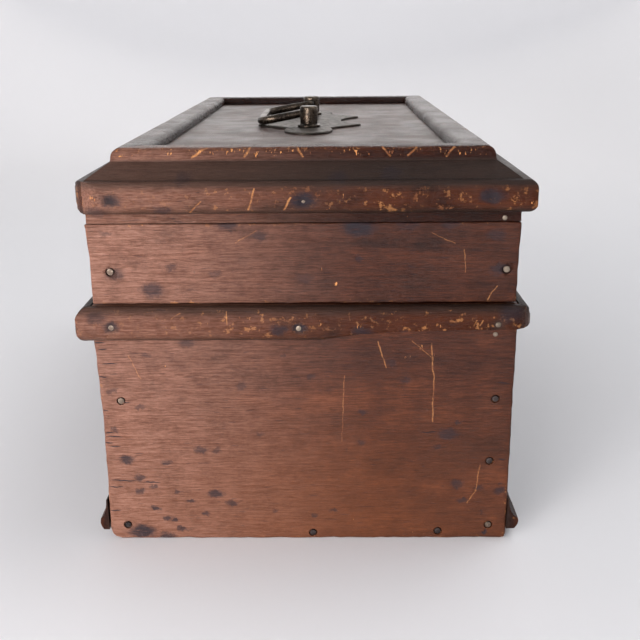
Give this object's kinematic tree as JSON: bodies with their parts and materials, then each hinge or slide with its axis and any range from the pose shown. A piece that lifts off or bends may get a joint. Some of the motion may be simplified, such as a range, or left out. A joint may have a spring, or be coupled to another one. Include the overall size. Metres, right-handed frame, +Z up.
{
  "type": "wooden money box",
  "caption": "Long stained wooden box with a deep moulded hinged lid, a brass bail carrying handle on the sunk lid panel, a front lock with key and a lift-out coin till.",
  "frame": {"origin": "on the underside, below the middle of the box without its mouldings", "axes": "+Z up, +Y along the length from the left end to the right end, +X out of the front, where the lock is"},
  "size_m": [0.179, 0.29, 0.1525],
  "materials": {
    "stained_wood": "dark red-brown stain under an old worn gloss varnish",
    "moulding_wood": "darker stain, gloss, worn to bare orange wood on the high places",
    "plain_wood": "unvarnished inside wood, dull and darkened by age",
    "aged_brass": "dark grey-brown tarnish with a soft shine",
    "lock_brass": "tarnished yellow brass",
    "dark_iron": "dark oxidised iron"
  },
  "bodies": {
    "base": {"base_left_end": "stained_wood", "base_right_end": "stained_wood", "base_front_board": "stained_wood", "base_back_board": "stained_wood", "base_bead_front": "moulding_wood", "base_bead_right": "moulding_wood", "base_bead_back": "moulding_wood", "base_bead_left": "moulding_wood", "foot_moulding_front": "moulding_wood", "foot_moulding_back": "moulding_wood", "bottom_board": "plain_wood", "till_ledge_front": "plain_wood", "till_ledge_back": "plain_wood", "hinge_left_base_leaf": "aged_brass", "hinge_left_pin": "aged_brass", "hinge_right_base_leaf": "aged_brass", "hinge_right_pin": "aged_brass", "lock_plate": "lock_brass", "lock_cap": "lock_brass", "lock_spring": "lock_brass", "escutcheon": "lock_brass", "nail_base_back_upper": "dark_iron", "nail_base_back_lower": "dark_iron", "nail_base_front_upper": "dark_iron", "nail_base_front_middle": "dark_iron", "nail_base_front_lower": "dark_iron", "nail_bottom_middle": "dark_iron", "nail_bottom_front": "dark_iron"},
    "lid": {"lid_left_end": "stained_wood", "lid_right_end": "stained_wood", "lid_front_board": "stained_wood", "lid_back_board": "stained_wood", "lid_panel": "stained_wood", "lid_moulding_front": "moulding_wood", "lid_moulding_right": "moulding_wood", "lid_moulding_back": "moulding_wood", "lid_moulding_left": "moulding_wood", "nail_lid_back": "dark_iron", "nail_lid_front": "dark_iron", "hinge_left_lid_leaf": "aged_brass", "hinge_right_lid_leaf": "aged_brass", "handle_backplate": "aged_brass", "handle_post_left": "aged_brass", "handle_post_right": "aged_brass", "handle_nut_left": "dark_iron", "handle_nut_right": "dark_iron", "lock_link_plate": "lock_brass"},
    "bail": {"handle_bail": "aged_brass"},
    "till": {"till_bottom": "plain_wood", "till_left_end": "plain_wood", "till_right_end": "plain_wood", "till_front_side": "plain_wood", "till_back_side": "plain_wood", "till_long_divider": "plain_wood", "till_divider_left": "plain_wood", "till_divider_right": "plain_wood"},
    "key": {"key": "dark_iron"},
    "bolt": {"lock_bolt": "lock_brass"}
  },
  "joints": [
    {"name": "lid_hinge", "type": "hinge", "parent": "base", "child": "lid", "pos_m": [-0.075, 0, 0.0928], "axis": [0, -1, 0], "range_deg": [0, 108]},
    {"name": "bail_pivot", "type": "hinge", "parent": "lid", "child": "bail", "pos_m": [0, 0, 0.1493], "axis": [0, 1, 0], "range_deg": [0, 201]},
    {"name": "till_lift", "type": "slide", "parent": "base", "child": "till", "axis": [0, 0, 1], "range_m": [0, 0.03]},
    {"name": "key_turn", "type": "hinge", "parent": "base", "child": "key", "pos_m": [0.075, 0, 0.066], "axis": [-1, 0, 0], "range_deg": [0, 43]},
    {"name": "bolt_throw", "type": "slide", "parent": "base", "child": "bolt", "axis": [0, 1, 0], "range_m": [0, 0.0066]}
  ],
  "couplings": [
    {"joint": "bolt_throw", "follows": "key_turn", "m_per_rad": 0.00879}
  ]
}
